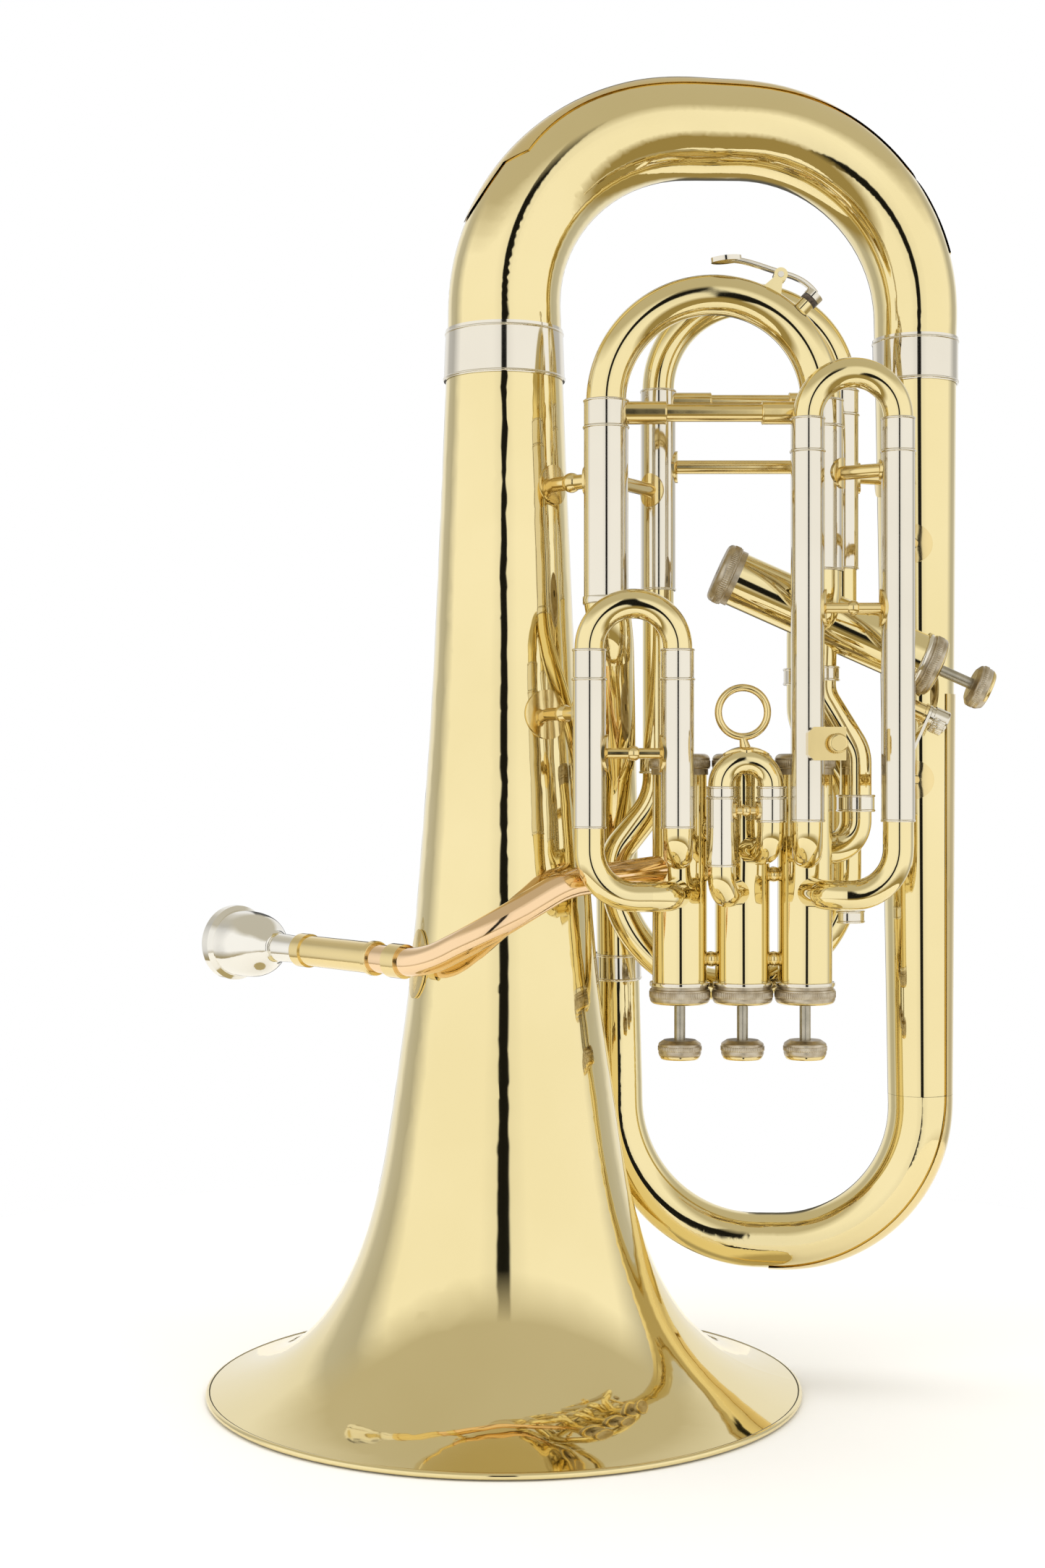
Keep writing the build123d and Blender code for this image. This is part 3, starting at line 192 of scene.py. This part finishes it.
def cork_material():
    """Cork: mottled, matt and rough to the touch."""
    material, graph, shader = new_material("cork")
    mottle = graph.noise(CORK_SCALE, CORK_DETAIL)
    colour = graph.ramp(mottle, (CORK_LOW, CORK_DARK), (CORK_HIGH, CORK_PALE))
    graph.link(colour, shader.inputs["Base Color"])
    graph.link(graph.span(mottle, CORK_ROUGH, CORK_SMOOTH), shader.inputs["Roughness"])
    graph.link(graph.bump(mottle, CORK_BUMP, CORK_GRAIN), shader.inputs["Normal"])
    shader.inputs["Sheen Weight"].default_value = CORK_SHEEN
    return material


looks = {slot: metal(slot, **finish) for slot, finish in FINISHES.items()}
cork = cork_material()

for part in frame["record"]["subparts"]:
    slots = nodes[part["node"]].data.materials
    slots.clear()
    slots.append(looks[part["material_slot"]])


# ---- places on the CAD -----------------------------------------------------------------------
def basis(origin, axis):
    """Frame at origin whose Z points along axis."""
    return Matrix.Translation(Vector(origin)) @ Vector(axis).to_track_quat("Z", "Y").to_matrix().to_4x4()


def joint_axis(body):
    """Direction that a body slides in or turns about."""
    return next(Vector(j["axis"]).normalized() for j in frame["joints"] if j["child"] == body)


def centre(node):
    """Middle of a node's box."""
    low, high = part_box(node)
    return (low + high) / 2


def along(node, axis):
    """Least and greatest distance of a node's points along an axis."""
    heights = [v.co.dot(axis) for v in nodes[node].data.vertices]
    return min(heights), max(heights)


def through(node, axis, distance):
    """Point at a distance along an axis, on the line through a node's middle."""
    middle = centre(node)
    return middle + axis * (distance - middle.dot(axis))


# ---- small pieces ----------------------------------------------------------------------------
def placed(name, work, place, material):
    """Object made from a bmesh, which is moved to its place and used up."""
    mesh = bpy.data.meshes.new(name)
    work.transform(place)
    work.to_mesh(mesh)
    work.free()
    mesh.materials.append(material)
    thing = bpy.data.objects.new(name, mesh)
    bpy.context.scene.collection.objects.link(thing)
    return thing


def piece(name, build, body, slot, place, material=None):
    """A smooth mesh riding on a body, with its slot's look unless a material is given."""
    work = bmesh.new()
    build(work)
    bmesh.ops.recalc_face_normals(work, faces=work.faces)
    thing = placed(name, work, place, material or looks[slot])
    for face in thing.data.polygons:
        face.use_smooth = True
    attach(thing, body)


def ring_mesh(work, profile, count, wave=None):
    """A closed profile of (radius, height) points turned about Z; wave(angle, radius) reshapes it."""
    rings = []
    for step in range(count):
        angle = 2 * pi * step / count
        ring = []
        for radius, height in profile:
            r = wave(angle, radius) if wave else radius
            ring.append(work.verts.new((r * cos(angle), r * sin(angle), height)))
        rings.append(ring)
    size = len(profile)
    for step in range(count):
        this, after = rings[step], rings[(step + 1) % count]
        for k in range(size):
            work.faces.new((this[k], after[k], after[(k + 1) % size], this[(k + 1) % size]))


def turned(profile, count):
    """Maker of a plain ring with that profile."""
    return lambda work: ring_mesh(work, profile, count)


RIDGE = 0.00022          # how far a knurl's ridges stand out
RIDGE_STEPS = 6          # points round each ridge
KNURL_EDGE = 0.0003      # size of the bevel at a knurl's two edges
TOLERANCE = 1e-6


def knurl(radius, inner, low, high, teeth):
    """Maker of a band of fine straight ridges between two heights."""
    def wave(angle, r):
        """Radius with the ridges added, on all but the inner wall."""
        return r + RIDGE * (0.5 + 0.5 * cos(angle * teeth)) if r > inner + TOLERANCE else r

    profile = [(inner, low), (radius - KNURL_EDGE, low), (radius, low + KNURL_EDGE),
               (radius, high - KNURL_EDGE), (radius - KNURL_EDGE, high), (inner, high)]
    return lambda work: ring_mesh(work, profile, teeth * RIDGE_STEPS, wave)


CAP_KNURL = knurl(radius=0.01404, inner=0.0135, low=0.0009, high=0.0041, teeth=84)
BUTTON_KNURL = knurl(radius=0.01, inner=0.0093, low=0.0038, high=0.0062, teeth=60)
THUMB_KNURL = knurl(radius=0.00534, inner=0.0049, low=0.0108, high=0.0166, teeth=30)
LYRE_KNURL = knurl(radius=0.00424, inner=0.0039, low=0.0060, high=0.0083, teeth=32)

RING_STEPS = 144         # points round a plain ring
# A cap's outer corner is an arc; its lip covers the outward part of that arc and of the flat.
ARC_R, ARC_Z = 0.0114, 0.0044
ARC_OUTER, ARC_INNER = 0.00266, 0.00245
ARC_START, ARC_END, ARC_STEP = 34, 90, 8
FLAT_R, FLAT_TOP, FLAT_UNDER = 0.0098, 0.00706, 0.00685


def arc(radius):
    """Points of a cap's corner arc, from its side to its flat."""
    angles = [radians(degree) for degree in range(ARC_START, ARC_END + 1, ARC_STEP)]
    return [(ARC_R + radius * cos(a), ARC_Z + radius * sin(a)) for a in angles]


CAP_LIP = [*arc(ARC_OUTER), (FLAT_R, FLAT_TOP), (FLAT_R, FLAT_UNDER), *reversed(arc(ARC_INNER))]
# A button's lip covers the slope below its knurl and the rim round its dish.
BUTTON_LIP = [
    (0.00962, 0.00717), (0.00881, 0.00861), (0.00865, 0.00878), (0.00845, 0.00887), (0.00765, 0.00887),
    (0.00765, 0.0085), (0.0083, 0.0085), (0.0093, 0.0071),
]
COLLAR_STEPS = 96
COLLAR = [
    (0.01272, 0.0013), (0.01385, 0.0013), (0.0140, 0.0015), (0.0140, 0.0030), (0.01385, 0.0032),
    (0.01272, 0.0032),
]

for number in (1, 2, 3, 4):
    body, button, casing = f"valve_{number}", f"button_{number}", f"casing_{number}"
    axis = joint_axis(body)
    back, face = [through(button, axis, distance) for distance in along(button, axis)]
    mouth, end = [through(casing, axis, distance) for distance in along(casing, axis)]
    for side, seat, sign in (("mouth", mouth, -1), ("end", end, 1)):
        piece(f"cap_knurl_{side}_{number}", CAP_KNURL, "horn", "knurled_nickel", basis(seat, axis * sign))
    piece(f"casing_collar_{number}", turned(COLLAR, COLLAR_STEPS), "horn", "nickel_silver",
          basis(mouth, axis))
    piece(f"cap_lip_{number}", turned(CAP_LIP, RING_STEPS), "horn", "brass_fittings", basis(mouth, -axis))
    piece(f"button_knurl_{number}", BUTTON_KNURL, body, "knurled_nickel", basis(back, axis))
    piece(f"button_lip_{number}", turned(BUTTON_LIP, RING_STEPS), body, "brass_fittings", basis(face, -axis))

THUMB_AXIS = joint_axis("thumb_screw")
LYRE_AXIS = Vector((0, -1, 0))
for name, build, body, slot, axis in (
    ("thumb_screw_knurl", THUMB_KNURL, "thumb_screw", "nickel_silver", THUMB_AXIS),
    ("lyre_screw_knurl", LYRE_KNURL, "lyre_screw", "brass_fittings", LYRE_AXIS),
):
    piece(name, build, body, slot, basis(through(body, axis, along(body, axis)[0]), axis))

# A short nickel ring covers the joint between the main slide's left sleeve and the branch below.
SLEEVE_BEAD_R = 0.0107
FOOT_RING = [
    (0.0096, -0.0022), (0.01045, -0.0022), (0.01065, -0.0020), (0.01065, 0.0012), (0.01045, 0.0014),
    (0.0096, 0.0014),
]
sleeves_low, sleeves_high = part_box("main_sleeves")
sleeve_foot = (sleeves_low.x + SLEEVE_BEAD_R, (sleeves_low.y + sleeves_high.y) / 2, sleeves_low.z)
piece("main_foot_ring", turned(FOOT_RING, RING_STEPS), "horn", "nickel_silver",
      basis(sleeve_foot, (0, 0, 1)))

# The cork sits on the main crook's drain nipple, under the cup at the water key's end.
BEND_Z = 0.459                      # height of the centre of the crook's bend
BEND_R = 0.04895                    # half the distance between the slide's legs
CORK_LIFT = 0.01334                 # from the middle of the tube to just clear of the nipple's end
CORK_ANGLE = 46.7 * pi / 180
CORK_STEPS = 48
CORK_DISC = [
    (0.0004, 0.0), (0.0037, 0.0), (0.0041, 0.0004), (0.0041, 0.0022), (0.0038, 0.0025), (0.0004, 0.0025),
]
brace = centre("main_brace")
cork_axis = Vector((cos(CORK_ANGLE), 0, sin(CORK_ANGLE)))
cork_seat = Vector((brace.x, brace.y, BEND_Z)) + cork_axis * (BEND_R + CORK_LIFT)
piece("water_key_cork", turned(CORK_DISC, CORK_STEPS), "water_key", "nickel_silver",
      basis(cork_seat, cork_axis), cork)

# ---- floor and lights --------------------------------------------------------------------------
# The floor lies half a millimetre below the bell's rim, so that the two never share a face.
FLOOR_R, FLOOR_SEGMENTS = 0.5, 180
FLOOR_CENTRE = (0.02, 0.05, -0.0005)
FLOOR_SCALE, FLOOR_DETAIL = 3, 3.0
FLOOR_LOW, FLOOR_HIGH = (0.3, (0.93, 0.93, 0.93)), (0.7, (0.95, 0.95, 0.95))
FLOOR_ROUGHNESS, FLOOR_SPECULAR = 0.9, 0.1

paint, graph, shader = new_material("floor")
mottle = graph.noise(FLOOR_SCALE, FLOOR_DETAIL)
graph.link(graph.ramp(mottle, FLOOR_LOW, FLOOR_HIGH), shader.inputs["Base Color"])
shader.inputs["Roughness"].default_value = FLOOR_ROUGHNESS
shader.inputs["Specular IOR Level"].default_value = FLOOR_SPECULAR
work = bmesh.new()
bmesh.ops.create_circle(work, cap_ends=True, radius=FLOOR_R, segments=FLOOR_SEGMENTS)
placed("floor", work, Matrix.Translation(FLOOR_CENTRE), paint)

# Each light panel by name: its place, its width and height, and its power.
PANELS = (
    ("top_panel", (0.07, 0.2, 1.9), 2.2, 1.8, 22),
    ("left_panel", (-1.3, -0.9, 0.9), 1.2, 1.6, 5),
    ("right_panel", (1.45, -0.9, 0.9), 1.2, 1.6, 5),
)
LIT_POINT = Vector((0.07, 0, 0.3))

for name, place, width, height, power in PANELS:
    data = bpy.data.lights.new(name, "AREA")
    data.shape = "RECTANGLE"
    data.size, data.size_y = width, height
    data.energy = power
    light = bpy.data.objects.new(name, data)
    light.location = place
    light.rotation_euler = (LIT_POINT - Vector(place)).to_track_quat("-Z", "Y").to_euler()
    light.visible_glossy = False
    bpy.context.scene.collection.objects.link(light)

# ---- surroundings ------------------------------------------------------------------------------
# Brightness from straight in front (0) round to straight behind (1), the same on both sides: tall
# pale panels with a narrow dark gap in front and another behind, and a dimmer stretch past the sides.
AROUND = (
    (0.0, 0.01), (0.025, 0.012), (0.033, 0.90), (0.12, 1.0), (0.52, 1.0), (0.64, 0.50), (0.74, 0.55),
    (0.80, 0.85), (0.955, 0.85), (0.965, 0.12), (1.0, 0.10),
)
# Share of the ceiling in an upward direction, and of the underside in a downward one.
CEILING_SHARE = ((0.0, 0.0), (0.45, 0.0), (0.68, 1.0), (1.0, 1.0))
UNDERSIDE_SHARE = ((0.0, 0.0), (0.28, 0.0), (0.50, 1.0), (1.0, 1.0))
CEILING, UNDERSIDE = (0.55, 0.52, 0.44), (0.34, 0.27, 0.12)
SURROUNDINGS_STRENGTH = 1.12
BACKDROP = (1, 1, 1, 1)    # what the camera sees directly, where reflections show the surroundings

world = bpy.data.worlds.new("studio")
graph = Graph(world)
graph.nodes.clear()
toward = graph.add("ShaderNodeTexCoord")
parts = graph.add("ShaderNodeSeparateXYZ")
graph.link(toward.outputs["Generated"], parts.inputs["Vector"])
front = graph.math("MULTIPLY", parts.outputs["Y"], -1.0)
turn = graph.math("DIVIDE", graph.math("ARCTAN2", parts.outputs["X"], front), pi)
walls = graph.grey_ramp(graph.math("ABSOLUTE", turn), AROUND)
above = graph.grey_ramp(parts.outputs["Z"], CEILING_SHARE)
below = graph.grey_ramp(graph.math("MULTIPLY", parts.outputs["Z"], -1.0), UNDERSIDE_SHARE)
studio = graph.add("ShaderNodeBackground", {"Strength": SURROUNDINGS_STRENGTH})
graph.link(graph.mix(below, graph.mix(above, walls, CEILING), UNDERSIDE), studio.inputs["Color"])
backdrop = graph.add("ShaderNodeBackground", {"Color": BACKDROP})
path = graph.add("ShaderNodeLightPath")
choose = graph.add("ShaderNodeMixShader")
graph.link(path.outputs["Is Camera Ray"], choose.inputs["Fac"])
graph.link(studio.outputs[0], choose.inputs[1])
graph.link(backdrop.outputs[0], choose.inputs[2])
final = graph.add("ShaderNodeOutputWorld")
graph.link(choose.outputs[0], final.inputs["Surface"])
bpy.context.scene.world = world
bpy.context.scene.view_settings.view_transform = "Standard"

# ---- camera ------------------------------------------------------------------------------------
CAMERA_PLACE = (0.0086, -1.030, 0.285)
LEVEL = (pi / 2, 0, 0)
LENS, SENSOR_WIDTH = 50, 36

camera = bpy.data.cameras.new("camera")
camera.lens = LENS
camera.sensor_width = SENSOR_WIDTH
view = bpy.data.objects.new("camera", camera)
view.location = CAMERA_PLACE
view.rotation_euler = LEVEL
bpy.context.scene.collection.objects.link(view)
bpy.context.scene.camera = view
